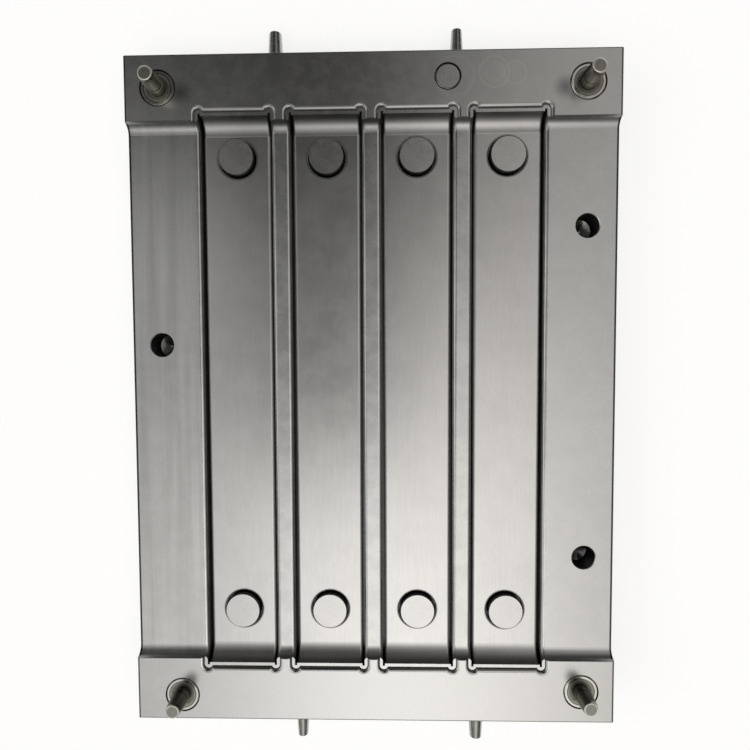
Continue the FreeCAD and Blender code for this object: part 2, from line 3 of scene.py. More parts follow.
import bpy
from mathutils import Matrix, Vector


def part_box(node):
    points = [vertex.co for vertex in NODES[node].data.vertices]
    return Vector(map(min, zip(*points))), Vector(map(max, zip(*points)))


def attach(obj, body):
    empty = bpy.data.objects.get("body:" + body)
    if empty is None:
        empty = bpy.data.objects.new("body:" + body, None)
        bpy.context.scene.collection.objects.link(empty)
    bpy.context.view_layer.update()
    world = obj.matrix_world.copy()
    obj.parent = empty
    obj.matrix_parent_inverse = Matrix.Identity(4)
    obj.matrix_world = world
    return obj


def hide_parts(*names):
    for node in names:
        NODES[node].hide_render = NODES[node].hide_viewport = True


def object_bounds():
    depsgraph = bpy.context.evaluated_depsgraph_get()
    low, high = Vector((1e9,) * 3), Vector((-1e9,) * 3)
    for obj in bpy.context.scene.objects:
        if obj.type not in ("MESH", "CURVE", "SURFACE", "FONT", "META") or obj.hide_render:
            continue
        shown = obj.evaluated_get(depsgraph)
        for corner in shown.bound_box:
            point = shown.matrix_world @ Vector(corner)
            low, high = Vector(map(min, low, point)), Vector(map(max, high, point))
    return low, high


bl_info = {
    "name": "Mould Half Finishes",
    "version": (1, 0, 0),
    "blender": (4, 5, 0),
    "location": "View3D > Sidebar > Mould",
    "description": "Finishes the steel pieces of a compression mould half and sets them on a stage",
    "category": "Object",
}

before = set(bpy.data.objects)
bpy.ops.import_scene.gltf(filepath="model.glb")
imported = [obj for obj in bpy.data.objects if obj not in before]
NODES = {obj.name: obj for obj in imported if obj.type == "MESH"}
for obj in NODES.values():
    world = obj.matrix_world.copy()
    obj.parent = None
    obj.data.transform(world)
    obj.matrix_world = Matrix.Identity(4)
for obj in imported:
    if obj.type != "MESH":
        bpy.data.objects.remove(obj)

import math

import bmesh
import bpy
from bpy.props import FloatProperty, FloatVectorProperty, PointerProperty
from mathutils import Euler, Vector

CAD_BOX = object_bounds()
BODY = "root"
SMOOTH_ANGLE = math.radians(24)
PLATE_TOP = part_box("mould_plate")[1][2]

# where the shapes of the plate and the inserts begin and end, in metres
BLOCK_FACE = 0.3337
LAND_RAMP_FOOT = 0.3205
INSERT_RAMP_FOOT, INSERT_RAMP_TOP = 0.3202, 0.3405
CAVITY_PITCH = 0.1115
CORE_MIDDLE, CORE_REACH = 0.0085, 0.2850
RAMP_EDGE = (0.3195, 0.3200)

CAMERA_LENS = 24.525
CAMERA_SHIFT = 0.0127
CAMERA_PLACE = (0.01679, 0.03974)
CAMERA_TURN = (-2.4548, 1.2264, -0.2505)  # degrees
FLOOR_GLOW = 0.62

# how the guide pin sits in its collar
PIN_FOOT_RADIUS, PIN_FLANGE_RADIUS, PIN_SHOULDER_RADIUS = 0.0140, 0.0190, 0.0165
PIN_SEAT_DEPTH, PIN_FLANGE_HEIGHT = 0.012, 0.0050


# ---------------------------------------------------------------- sizes and colours

def metal_colour(name, description, value):
    return FloatVectorProperty(name=name, description=description, subtype="COLOR", size=3, min=0, max=1,
                               default=value)


class MouldColours(bpy.types.PropertyGroup):
    plate: metal_colour("Plate", "Ground steel of the plate", (0.70, 0.70, 0.69))
    insert: metal_colour("Inserts", "Polished steel of the cavity inserts", (0.72, 0.715, 0.705))
    core: metal_colour("Core pins", "Turned steel of the core pins", (0.70, 0.695, 0.685))
    guide: metal_colour("Guide pins", "Hardened steel of the guide pins", (0.19, 0.185, 0.155))
    nose: metal_colour("Guide pin tips", "Ground end faces of the guide pins", (0.50, 0.49, 0.44))
    collar: metal_colour("Collars", "Turned steel of the collars", (0.72, 0.70, 0.64))
    peg: metal_colour("Handle pegs", "Dull turned steel of the pegs", (0.42, 0.43, 0.40))
    fastener: metal_colour("Fasteners", "Black oxide of screws", (0.05, 0.05, 0.055))
    floor: metal_colour("Floor", "Pale studio floor", (0.93, 0.93, 0.93))


class MouldSizes(bpy.types.PropertyGroup):
    camera_height: FloatProperty(name="Camera height", description="Height of the camera over the underside",
                                 default=0.6871, min=0.1, unit="LENGTH")
    pin_radius: FloatProperty(name="Guide pin", description="Radius of a guide pin's straight length",
                              default=0.011, min=0.001, unit="LENGTH")
    pin_straight: FloatProperty(name="Straight length", description="Straight length above the block's face",
                                default=0.009, min=0.0, unit="LENGTH")
    pin_tip_radius: FloatProperty(name="Pin tip", description="Radius of a guide pin at its end face",
                                  default=0.0085, min=0.001, unit="LENGTH")
    floor_size: FloatProperty(name="Floor", description="Width of the floor", default=12.0, min=1,
                              unit="LENGTH")


# ---------------------------------------------------------------- node helpers

class Tree:
    """Builds a node tree from short calls; inputs may be values or sockets."""

    def __init__(self, tree):
        self.tree = tree

    def node(self, kind, **settings):
        made = self.tree.nodes.new(kind)
        for key, value in settings.items():
            setattr(made, key, value)
        return made

    def feed(self, socket, value):
        if isinstance(value, bpy.types.NodeSocket):
            self.tree.links.new(value, socket)
        else:
            socket.default_value = value

    def math(self, operation, a, b=0.5, c=0.5):
        made = self.node("ShaderNodeMath", operation=operation)
        for socket, value in zip(made.inputs, (a, b, c)):
            self.feed(socket, value)
        return made.outputs[0]

    def ramp(self, value, low, high, start=0.0, end=1.0):
        """A smooth step from start to end as the value goes from low to high."""
        made = self.node("ShaderNodeMapRange", interpolation_type="SMOOTHSTEP")
        for socket, item in zip(made.inputs, (value, low, high, start, end)):
            self.feed(socket, item)
        return made.outputs[0]

    def mix(self, factor, a, b):
        return self.math("MULTIPLY_ADD", factor, self.math("SUBTRACT", b, a), a)

    def mix_colour(self, factor, a, b):
        made = self.node("ShaderNodeMix", data_type="RGBA")
        self.feed(made.inputs["Factor"], factor)
        for socket, value in ((made.inputs[6], a), (made.inputs[7], b)):
            self.feed(socket, value if isinstance(value, bpy.types.NodeSocket) else (*value[:3], 1.0))
        return made.outputs[2]

    def noise(self, vector, scale, detail=3.0, roughness=0.55):
        made = self.node("ShaderNodeTexNoise")
        settings = {"Vector": vector, "Scale": scale, "Detail": detail, "Roughness": roughness}
        for key, value in settings.items():
            self.feed(made.inputs[key], value)
        return made.outputs["Fac"]

    def scaled(self, vector, factor):
        """A vector or a colour times a number."""
        made = self.node("ShaderNodeVectorMath", operation="SCALE")
        self.feed(made.inputs[0], vector[:3] if not isinstance(vector, bpy.types.NodeSocket) else vector)
        self.feed(made.inputs["Scale"], factor)
        return made.outputs[0]

    def product(self, *values):
        result = values[0]
        for value in values[1:]:
            result = self.math("MULTIPLY", result, value)
        return result

    def around(self, value, spread):
        """1 plus or minus spread as the value goes from 0 to 1."""
        return self.math("MULTIPLY_ADD", value, 2 * spread, 1 - spread)

    def change(self, mask, amount):
        """1 where the mask is 0, and 1 plus amount where it is 1."""
        return self.math("MULTIPLY_ADD", mask, amount, 1.0)

    def rest(self, value):
        return self.math("SUBTRACT", 1.0, value)

    def hypotenuse(self, a, b):
        return self.math("SQRT", self.math("ADD", self.product(a, a), self.product(b, b)))

    def distance(self, vector, centre):
        """How far a place is from an upright axis through centre."""
        across, along, _ = self.split(self.mapping(vector, location=(-centre[0], -centre[1], 0.0)))
        return self.hypotenuse(across, along)

    def place(self):
        return self.node("ShaderNodeTexCoord").outputs["Object"]

    def group(self, name, **values):
        made = self.node("ShaderNodeGroup", node_tree=bpy.data.node_groups[name])
        for label, value in values.items():
            self.feed(made.inputs[label.replace("_", " ")], value)
        return made.outputs

    def mapping(self, vector, location=(0, 0, 0), rotation=(0, 0, 0), scale=(1, 1, 1)):
        made = self.node("ShaderNodeMapping")
        settings = {"Vector": vector, "Location": location, "Rotation": rotation, "Scale": scale}
        for key, value in settings.items():
            self.feed(made.inputs[key], value)
        return made.outputs[0]

    def split(self, vector):
        made = self.node("ShaderNodeSeparateXYZ")
        self.feed(made.inputs[0], vector)
        return made.outputs


def new_group(name, inputs, outputs):
    group = bpy.data.node_groups.new(name, "ShaderNodeTree")
    for label, kind, value in inputs:
        socket = group.interface.new_socket(label, in_out="INPUT", socket_type=kind)
        if value is not None:
            socket.default_value = value
    for label, kind in outputs:
        group.interface.new_socket(label, in_out="OUTPUT", socket_type=kind)
    tree = Tree(group)
    return tree, tree.node("NodeGroupInput"), tree.node("NodeGroupOutput")


# ---------------------------------------------------------------- stage

def sky_strength(tree, x, y, z):
    """How bright the studio is in a direction.

    A broad soft light hangs in front of the object and a weaker one to its right. A strip glows low on its
    left and another behind it on the left. A dark patch hangs overhead, left of the middle, and the room is
    dark behind the object and round the horizon. Directions overhead are taken as slopes off straight up."""
    height = tree.math("MAXIMUM", z, 0.05)
    across = tree.math("DIVIDE", x, height)
    along = tree.math("DIVIDE", y, height)

    from_middle = tree.math("ABSOLUTE", tree.math("SUBTRACT", across, 0.05))
    front = tree.ramp(from_middle, 0.0, 0.65, 1.28, 0.52)
    front = tree.math("MULTIPLY", front, tree.ramp(along, -0.52, -0.66, 1.0, 1.14))
    back = tree.ramp(across, -0.08, 0.45, 0.030, 0.43)
    overhead = tree.mix(tree.ramp(along, -0.48, 0.55), front, back)
    shade_width = tree.math("MULTIPLY", tree.ramp(across, -0.36, -0.15), tree.ramp(across, 0.11, -0.09))
    shade = tree.product(shade_width, tree.ramp(along, -0.33, -0.05), tree.ramp(along, 0.30, 0.0, 0.88, 1.0))
    overhead = tree.math("MULTIPLY", overhead, tree.change(shade, -0.835))
    left_glow = tree.product(tree.ramp(across, -0.25, -0.42), tree.ramp(along, 0.56, 0.35),
                             tree.ramp(along, 0.0, 0.32))
    overhead = tree.math("MULTIPLY", overhead, tree.change(left_glow, 2.2))

    left = tree.ramp(x, -0.45, -0.80, 0.30, 0.85)
    right = tree.ramp(x, 0.45, 0.75, 0.0, -0.18)
    low = tree.math("MULTIPLY", tree.math("ADD", left, right), tree.ramp(y, 0.05, 0.45, 1.0, 0.40))
    lowered = tree.mix(tree.ramp(z, 0.74, 0.60), overhead, low)
    return tree.mix(tree.ramp(z, 0.42, 0.26), lowered, 0.05)


def make_world():
    world = bpy.data.worlds.new("studio")
    world.use_nodes = True
    bpy.context.scene.world = world
    tree = Tree(world.node_tree)
    background = world.node_tree.nodes["Background"]
    direction = tree.node("ShaderNodeTexCoord").outputs["Generated"]
    x, y, z = tree.split(direction)
    strength = sky_strength(tree, x, y, z)
    tint = tree.mix_colour(tree.ramp(x, -0.4, 0.3), (1.0, 0.988, 0.97), (1.0, 0.972, 0.938))
    seen = tree.node("ShaderNodeLightPath").outputs["Is Camera Ray"]
    tree.feed(background.inputs["Color"], tree.mix_colour(seen, tint, (1.0, 0.995, 0.985)))
    tree.feed(background.inputs["Strength"], tree.mix(seen, strength, 1.0))


def make_floor(colours, sizes):
    mesh = bmesh.new()
    bmesh.ops.create_grid(mesh, x_segments=1, y_segments=1, size=sizes.floor_size / 2)
    bmesh.ops.translate(mesh, verts=mesh.verts, vec=(0, 0, CAD_BOX[0].z))
    data = bpy.data.meshes.new("floor")
    mesh.to_mesh(data)
    mesh.free()
    floor = bpy.data.objects.new("floor", data)
    bpy.context.scene.collection.objects.link(floor)
    material = bpy.data.materials.new("floor")
    material.use_nodes = True
    tree = Tree(material.node_tree)
    shader = material.node_tree.nodes["Principled BSDF"]
    shader.inputs["Base Color"].default_value = (*colours.floor, 1)
    shader.inputs["Roughness"].default_value = 0.9
    shader.inputs["Specular IOR Level"].default_value = 0.0
    glow = tree.node("ShaderNodeEmission")
    glow.inputs["Strength"].default_value = FLOOR_GLOW
    paths = tree.node("ShaderNodeLightPath")
    seen = tree.math("MAXIMUM", paths.outputs["Is Camera Ray"], paths.outputs["Is Glossy Ray"])
    add = tree.node("ShaderNodeAddShader")
    pick = tree.node("ShaderNodeMixShader")
    output = material.node_tree.nodes["Material Output"]
    tree.feed(add.inputs[0], shader.outputs[0])
    tree.feed(add.inputs[1], glow.outputs[0])
    tree.feed(pick.inputs[0], seen)
    tree.feed(pick.inputs[1], shader.outputs[0])
    tree.feed(pick.inputs[2], add.outputs[0])
    tree.feed(output.inputs["Surface"], pick.outputs[0])
    data.materials.append(material)


def make_camera(sizes):
    data = bpy.data.cameras.new("camera")
    data.lens = CAMERA_LENS
    data.shift_y = CAMERA_SHIFT
    data.clip_start, data.clip_end = 0.01, 50
    camera = bpy.data.objects.new("camera", data)
    camera.location = (*CAMERA_PLACE, sizes.camera_height)
    camera.rotation_euler = Euler([math.radians(angle) for angle in CAMERA_TURN])
    bpy.context.scene.collection.objects.link(camera)
    bpy.context.scene.camera = camera


class MOULD_OT_stage(bpy.types.Operator):
    """Make the floor, the studio light and the camera"""
    bl_idname = "mould.stage"
    bl_label = "Stage"

    def execute(self, context):
        scene = context.scene
        make_world()
        make_floor(scene.mould_colours, scene.mould_sizes)
        make_camera(scene.mould_sizes)
        scene.view_settings.view_transform = "Standard"
        return {"FINISHED"}


# ---------------------------------------------------------------- effects shared by the steels

def make_surface_group():
    """Mottling, grain and specks of handled steel."""
    tree, source, result = new_group(
        "steel_surface",
        [("Vector", "NodeSocketVector", None), ("Mottle Scale", "NodeSocketFloat", 60.0),
         ("Grain Scale", "NodeSocketFloat", 900.0), ("Grain Stretch", "NodeSocketVector", (1.0, 1.0, 1.0))],
        [("Tone", "NodeSocketFloat"), ("Grain", "NodeSocketFloat"), ("Specks", "NodeSocketFloat")])
    vector = source.outputs["Vector"]
    mottle = tree.noise(vector, source.outputs["Mottle Scale"], 5.0, 0.62)
    stretched = tree.node("ShaderNodeVectorMath", operation="MULTIPLY")
    tree.feed(stretched.inputs[0], vector)
    tree.feed(stretched.inputs[1], source.outputs["Grain Stretch"])
    grain = tree.noise(stretched.outputs[0], source.outputs["Grain Scale"], 2.0, 0.5)
    specks = tree.noise(vector, 640.0, 1.0, 0.4)
    tree.feed(result.inputs["Tone"], tree.ramp(mottle, 0.34, 0.66))
    tree.feed(result.inputs["Grain"], tree.ramp(grain, 0.25, 0.75))
    tree.feed(result.inputs["Specks"], tree.ramp(specks, 0.70, 0.78))


def make_slope_shade_group():
    """Masks for painted shade in narrow gaps and corners and on faces that stand steeply, with masks for
    faces that lean lengthwise or lie level.
    """
    tree, source, result = new_group(
        "slope_and_painted_shade",
        [("Reach", "NodeSocketFloat", 0.006)],
        [("Gap", "NodeSocketFloat"), ("Steep", "NodeSocketFloat"), ("Along", "NodeSocketFloat"),
         ("Polished", "NodeSocketFloat")])
    shadow = tree.node("ShaderNodeAmbientOcclusion", samples=8)
    tree.feed(shadow.inputs["Distance"], source.outputs["Reach"])
    normal_x, normal_y, normal_z = tree.split(tree.node("ShaderNodeNewGeometry").outputs["Normal"])
    # painted shade: Gap rises where nearby surfaces hem a point in, Steep where a face stands steeply
    tree.feed(result.inputs["Gap"], tree.ramp(shadow.outputs["AO"], 0.52, 0.20))
    tree.feed(result.inputs["Steep"], tree.ramp(normal_z, 0.80, 0.40))
    tree.feed(result.inputs["Along"], tree.math("ABSOLUTE", normal_y))
    tree.feed(result.inputs["Polished"], tree.ramp(normal_z, 0.995, 0.96))


def make_turning_group():
    """Rings left by a lathe round a piece's own axis."""
    tree, source, result = new_group(
        "turning_rings",
        [("Vector", "NodeSocketVector", None), ("Scale", "NodeSocketFloat", 400.0)],
        [("Rings", "NodeSocketFloat"), ("Broad", "NodeSocketFloat")])
    for label, scale, factor in (("Rings", 1.0, 1.5), ("Broad", 0.23, 4.0)):
        wave = tree.node("ShaderNodeTexWave", wave_type="RINGS", rings_direction="Z")
        tree.feed(wave.inputs["Vector"], source.outputs["Vector"])
        tree.feed(wave.inputs["Scale"], tree.math("MULTIPLY", source.outputs["Scale"], scale))
        tree.feed(wave.inputs["Distortion"], factor)
        tree.feed(wave.inputs["Detail"], 2.0)
        tree.feed(result.inputs[label], wave.outputs["Fac"])


# ---------------------------------------------------------------- finishes

def new_steel(name, roughness):
    material = bpy.data.materials.new(name)
    material.use_nodes = True
    shader = material.node_tree.nodes["Principled BSDF"]
    shader.inputs["Metallic"].default_value = 1.0
    shader.inputs["Roughness"].default_value = roughness
    return material, Tree(material.node_tree), shader


def add_bump(tree, shader, height, distance, strength):
    bump = tree.node("ShaderNodeBump")
    tree.feed(bump.inputs["Strength"], strength)
    tree.feed(bump.inputs["Distance"], distance)
    tree.feed(bump.inputs["Height"], height)
    tree.feed(shader.inputs["Normal"], bump.outputs[0])


def dress(prefix, material):
    chosen = [node for name, node in NODES.items() if name.startswith(prefix)]
    if not chosen:
        raise RuntimeError(f"no CAD node is named {prefix}")
    for node in chosen:
        node.data.materials.clear()
        node.data.materials.append(material)


def middle_of(name):
    low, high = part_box(name)
    return (Vector(low) + Vector(high)) / 2


def ring_mark(tree, place, centre, radius, width):
    """A mask over a thin circle round a vertical axis."""
    reach = tree.distance(place, centre)
    return tree.ramp(tree.math("ABSOLUTE", tree.math("SUBTRACT", reach, radius)), width, width * 0.35)


def painted_ramp_shade(tree, x, y, foot, top, at_foot):
    """How much painted shade darkens a ramp: most towards its top and at the rear left of the middle, and a
    little just above its foot.
    """
    middle = tree.product(tree.ramp(x, -0.235, -0.13), tree.ramp(x, 0.13, 0.0), tree.ramp(y, -0.01, 0.01))
    length = tree.math("ABSOLUTE", y)
    height = tree.math("DIVIDE", tree.math("SUBTRACT", length, foot), top - foot)
    climb = tree.ramp(height, 0.12, 0.45, 0.0, 1.0)
    ramp_shade = tree.math("ADD", tree.math("MULTIPLY_ADD", middle, 0.22, 0.22),
                     tree.ramp(height, 0.45, 1.0, 0.0, 0.28))
    foot_shade = tree.product(tree.ramp(height, -0.02, 0.13), tree.ramp(height, 0.50, 0.13),
                             tree.ramp(y, -0.01, 0.01, 0.08, at_foot))
    return tree.math("ADD", tree.product(ramp_shade, climb), foot_shade)


def soft_spot(tree, place, centre, radius):
    """A mask over a spot with a soft edge on a level face."""
    reach = tree.distance(place, centre)
    return tree.ramp(reach, radius, 0.0)


def make_plate_steel(colours):
    """Ground end blocks, milled side lands, stained ridges and polished rims, with painted shade on the
    walls, in the slots and bores, up the ramps and along the outer edges.
    """
    material, tree, shader = new_steel("plate_steel", 0.27)
    place = tree.place()
    x, y, z = tree.split(place)
    side, length = tree.math("ABSOLUTE", x), tree.math("ABSOLUTE", y)
    slope_and_shade = tree.group("slope_and_painted_shade", Reach=0.006)
    surface = tree.group("steel_surface", Vector=place, Mottle_Scale=48.0, Grain_Scale=700.0,
                         Grain_Stretch=(1.0, 0.12, 1.0))
    inside = tree.product(tree.ramp(side, 0.2981, 0.2972), tree.ramp(length, 0.4112, 0.4106))
    block = tree.ramp(z, 0.0585, 0.0595)
    side_land = tree.math("MULTIPLY", tree.ramp(side, 0.2165, 0.2185), tree.rest(block))
    left_land = tree.math("MULTIPLY", side_land, tree.ramp(x, 0.01, -0.01))
    right_land = tree.math("SUBTRACT", side_land, left_land)

    # milling passes down the left land, crossed scratches on the right one
    passes = tree.noise(tree.mapping(place, scale=(1.0, 0.035, 1.0)), 115.0, 2.0, 0.5)
    one_way = tree.mapping(place, rotation=(0, 0, 0.66), scale=(1.0, 0.02, 1.0))
    other_way = tree.mapping(place, rotation=(0, 0, -0.95), scale=(1.0, 0.02, 1.0))
    scratch_a = tree.noise(one_way, 620.0, 2.0, 0.5)
    scratch_b = tree.noise(other_way, 540.0, 2.0, 0.5)
    scratches = tree.math("MAXIMUM", tree.ramp(scratch_a, 0.66, 0.74), tree.ramp(scratch_b, 0.68, 0.76))

    spread = tree.mix(block, tree.mix(side_land, 0.15, 0.06), 0.05)
    mottle = tree.math("MULTIPLY_ADD", tree.math("SUBTRACT", surface["Tone"], 0.5), spread, 1.0)
    banded = tree.change(tree.product(tree.math("SUBTRACT", passes, 0.5), left_land), 0.45)
    lined = tree.change(tree.product(scratches, right_land), 0.07)
    grained = tree.around(surface["Grain"], 0.014)
    speckled = tree.change(surface["Specks"], -0.12)

    on_ramp = tree.product(tree.ramp(slope_and_shade["Along"], 0.00, 0.32), tree.ramp(length, 0.3165, 0.3190),
                           tree.ramp(length, 0.3345, 0.3338), inside)
    # painted shade: slots, steep walls and narrow gaps inside the plate are darkened
    deep_shade = tree.product(tree.ramp(z, 0.0410, 0.0360, 0.0, 0.80), tree.ramp(side, 0.2340, 0.2330))
    steep_shade = tree.math("MULTIPLY", slope_and_shade["Steep"], tree.mix(on_ramp, 0.45, 0.15))
    wall_shade = tree.math("MAXIMUM", tree.math("MAXIMUM", steep_shade, deep_shade), tree.product(slope_and_shade["Gap"], 0.6))
    wall_shade = tree.product(wall_shade, inside)
    unshaded = tree.rest(wall_shade)
    # painted shade: the rims at the ends, and the ramps towards their tops, are darkened
    end_rim_shade = tree.product(tree.ramp(slope_and_shade["Along"], 0.10, 0.40), tree.ramp(length, 0.3420, 0.3440), inside)
    ramp_shade = painted_ramp_shade(tree, x, y, LAND_RAMP_FOOT, BLOCK_FACE, 0.20)
    ramp_shade = tree.product(ramp_shade, tree.ramp(length, 0.3345, 0.3338))
    ramp_tone = tree.product(tree.rest(tree.product(ramp_shade, tree.ramp(length, *RAMP_EDGE))),
                             tree.change(end_rim_shade, -0.50))
    plug = middle_of("blanking_plug")
    # a dark ring along the plug's seam, then faint circles of old set-ups: x, y, radius, line width, change
    # of tone
    circles = ((plug.x, plug.y, 0.0156, 0.0011, -0.60), (0.1474, 0.3857, 0.0178, 0.0016, 0.10),
               (0.1474, 0.3857, 0.0105, 0.0030, 0.05), (0.1720, 0.3840, 0.0130, 0.0016, 0.08),
               (plug.x + 0.008, plug.y, 0.0230, 0.0022, 0.06))
    marks = tree.product(*(tree.change(ring_mark(tree, place, (right, rear), radius, width), amount)
                           for right, rear, radius, width, amount in circles))
    # the rear guide pins' blurred reflections, laid on the block as stains that don't move with the view
    for name, reach in (("guide_pin_rear_left", 0.029), ("guide_pin_rear_right", -0.027)):
        pin = middle_of(name)
        spot = soft_spot(tree, place, (pin.x + reach, pin.y - 0.006), 0.019)
        marks = tree.product(marks, tree.change(spot, -0.55))
    marks = tree.mix(block, 1.0, marks)
    # painted shade: the outer edges and sides are darkened, and the insides of the bores
    upright = tree.ramp(slope_and_shade["Steep"], 0.60, 0.90)
    edge_and_bore_shade = tree.mix(inside, tree.mix(upright, 0.10, 0.50), 1.0)
    in_bore = tree.product(tree.ramp(z, 0.0494, 0.0478), tree.ramp(side, 0.2420, 0.2460), inside,
                           tree.ramp(length, 0.3200, 0.3150))
    edge_and_bore_shade = tree.product(edge_and_bore_shade, tree.change(in_bore, -0.62))
    tone = tree.product(mottle, banded, lined, grained, speckled, unshaded, ramp_tone, edge_and_bore_shade, marks)
    tree.feed(shader.inputs["Base Color"], tree.scaled(colours.plate, tone))

    polished = tree.product(slope_and_shade["Polished"], inside, tree.rest(on_ramp))
    satin = tree.math("ADD", tree.math("MULTIPLY_ADD", surface["Tone"], 0.025, 0.26),
                      tree.product(on_ramp, 0.08))
    wall = tree.product(slope_and_shade["Steep"], inside, tree.rest(on_ramp), 0.25)
    tree.feed(shader.inputs["Roughness"], tree.math("ADD", tree.mix(polished, satin, 0.15), wall))
    height = tree.math("ADD", tree.math("MULTIPLY", surface["Grain"], 0.5),
                       tree.product(scratches, right_land))
    add_bump(tree, shader, height, 0.000008, 0.25)
    dress("mould_plate", material)


def make_insert_steel(colours):
    """Fine lengthwise polish on the cavity floors, with painted shade in the slots and up the ramps, and a
    painted highlight on the chamfers round the core pins.
    """
    material, tree, shader = new_steel("insert_steel", 0.26)
    place = tree.place()
    x, y, z = tree.split(place)
    length = tree.math("ABSOLUTE", y)
    slope_and_shade = tree.group("slope_and_painted_shade", Reach=0.006)
    surface = tree.group("steel_surface", Vector=place, Mottle_Scale=24.0, Grain_Scale=520.0,
                         Grain_Stretch=(1.0, 0.05, 1.0))
    crossed = tree.noise(tree.mapping(place, rotation=(0, 0, 0.785), scale=(1.0, 0.25, 1.0)), 420.0, 2.0, 0.5)
    on_ramp = tree.product(tree.ramp(slope_and_shade["Along"], 0.00, 0.32), tree.ramp(length, 0.3180, 0.3205))
    # distance from the nearest core pin's axis
    across = tree.math("ABSOLUTE", tree.math("SUBTRACT", tree.math("ABSOLUTE", x), CAVITY_PITCH))
    across = tree.math("SUBTRACT", across, CAVITY_PITCH / 2)
    along = tree.math("ABSOLUTE", tree.math("SUBTRACT", y, CORE_MIDDLE))
    along = tree.math("SUBTRACT", along, CORE_REACH)
    reach = tree.hypotenuse(across, along)
    # painted highlight on the chamfer round each core pin's mouth, and a painted dark line along its outer
    # edge
    bevel_highlight = tree.product(tree.ramp(reach, 0.0256, 0.0252), tree.ramp(reach, 0.0234, 0.0238))
    outline_shade = tree.product(tree.ramp(reach, 0.0265, 0.0258), tree.ramp(reach, 0.0250, 0.0255))
    # painted shade: slots, steep faces and narrow gaps are darkened, but not the chamfers round the core pins
    deep_shade = tree.ramp(z, 0.0392, 0.0355, 0.0, 0.88)
    steep_shade = tree.math("MULTIPLY", slope_and_shade["Steep"], tree.mix(on_ramp, 0.20, 0.10))
    wall_shade = tree.math("MAXIMUM", tree.math("MAXIMUM", steep_shade, deep_shade), tree.product(slope_and_shade["Gap"], 0.35))
    unshaded = tree.rest(tree.product(wall_shade, tree.rest(bevel_highlight)))
    unshaded = tree.product(unshaded, tree.change(outline_shade, -0.45), tree.change(bevel_highlight, 0.25))
    # painted shade up the ramps
    ramp_shade = painted_ramp_shade(tree, x, y, INSERT_RAMP_FOOT, INSERT_RAMP_TOP, 0.46)
    ramp_tone = tree.rest(tree.product(ramp_shade, tree.ramp(length, *RAMP_EDGE)))
    tone = tree.product(tree.around(surface["Tone"], 0.035), tree.around(surface["Grain"], 0.02),
                        tree.around(crossed, 0.03), unshaded, ramp_tone)
    tree.feed(shader.inputs["Base Color"], tree.scaled(colours.insert, tone))
    satin = tree.math("MULTIPLY_ADD", surface["Tone"], 0.02, 0.245)
    edge = tree.product(slope_and_shade["Polished"], tree.rest(on_ramp))
    worn = tree.math("ADD", tree.product(on_ramp, 0.10), tree.product(edge, 0.30))
    tree.feed(shader.inputs["Roughness"], tree.math("ADD", satin, worn))
    height = tree.math("ADD", surface["Grain"], tree.math("MULTIPLY", crossed, 0.6))
    add_bump(tree, shader, height, 0.000006, 0.25)
    dress("cavity_insert", material)


def make_round_steel(name, colour, roughness, ring_scale, top=None, shaded_sides=0.0, seams=()):
    """A turned piece: rings on its end face, grain along its side, painted shade at its foot and in gaps.

    top is the colour of the end face, where it differs from the side. seams are the radii of fine dark lines
    where the piece meets another, or has a turned line, on a level face."""
    centre = middle_of(name)
    material, tree, shader = new_steel(name, roughness)
    centred = tree.mapping(tree.place(), location=(-centre.x, -centre.y, 0.0))
    slope_and_shade = tree.group("slope_and_painted_shade", Reach=0.004)
    rings = tree.group("turning_rings", Vector=centred, Scale=ring_scale)
    surface = tree.group("steel_surface", Vector=centred, Mottle_Scale=130.0, Grain_Scale=800.0,
                         Grain_Stretch=(1.0, 1.0, 0.08))
    normal_z = tree.split(tree.node("ShaderNodeNewGeometry").outputs["Normal"])[2]
    face = tree.ramp(normal_z, 0.85, 0.97) if top is None else tree.ramp(normal_z, 0.40, 0.60)
    # painted shade: the sides are darkened by the given share
    side_tone = tree.math("MULTIPLY", tree.around(surface["Grain"], 0.14), 1.0 - shaded_sides)
    face_tone = tree.product(tree.around(rings["Rings"], 0.05), tree.around(rings["Broad"], 0.05),
                             tree.around(surface["Tone"], 0.04))
    # painted shade in gaps and at the foot
    gap_shade = tree.change(slope_and_shade["Gap"], -0.85)
    across, along, _ = tree.split(centred)
    radius = tree.hypotenuse(across, along)
    # painted highlight and shade on the level faces: the tip face lighter towards its rim, the shoulder
    # darker next to the shaft and lighter towards its edge
    if top is not None:
        face_tone = tree.product(face_tone, tree.ramp(radius, 0.0060, 0.0072, 0.72, 1.80),
                                 tree.ramp(radius, 0.0110, 0.0120, 1.0, 0.25),
                                 tree.ramp(radius, 0.0125, 0.0165, 1.0, 2.0))
    for seam in seams:
        line = tree.ramp(tree.math("ABSOLUTE", tree.math("SUBTRACT", radius, seam)), 0.0007, 0.0003)
        face_tone = tree.product(face_tone, tree.change(line, -0.75))
    tone = tree.product(tree.mix(face, side_tone, face_tone), gap_shade)
    paint = tree.mix_colour(face, colour, top) if top is not None else colour
    tree.feed(shader.inputs["Base Color"], tree.scaled(paint, tone))
    finish = tree.math("MULTIPLY_ADD", surface["Tone"], 0.03, roughness - 0.015)
    if top is not None:
        finish = tree.mix(face, finish, 0.42)
    tree.feed(shader.inputs["Roughness"], finish)
    add_bump(tree, shader, tree.product(rings["Rings"], face), 0.000010, 0.3)
    return material


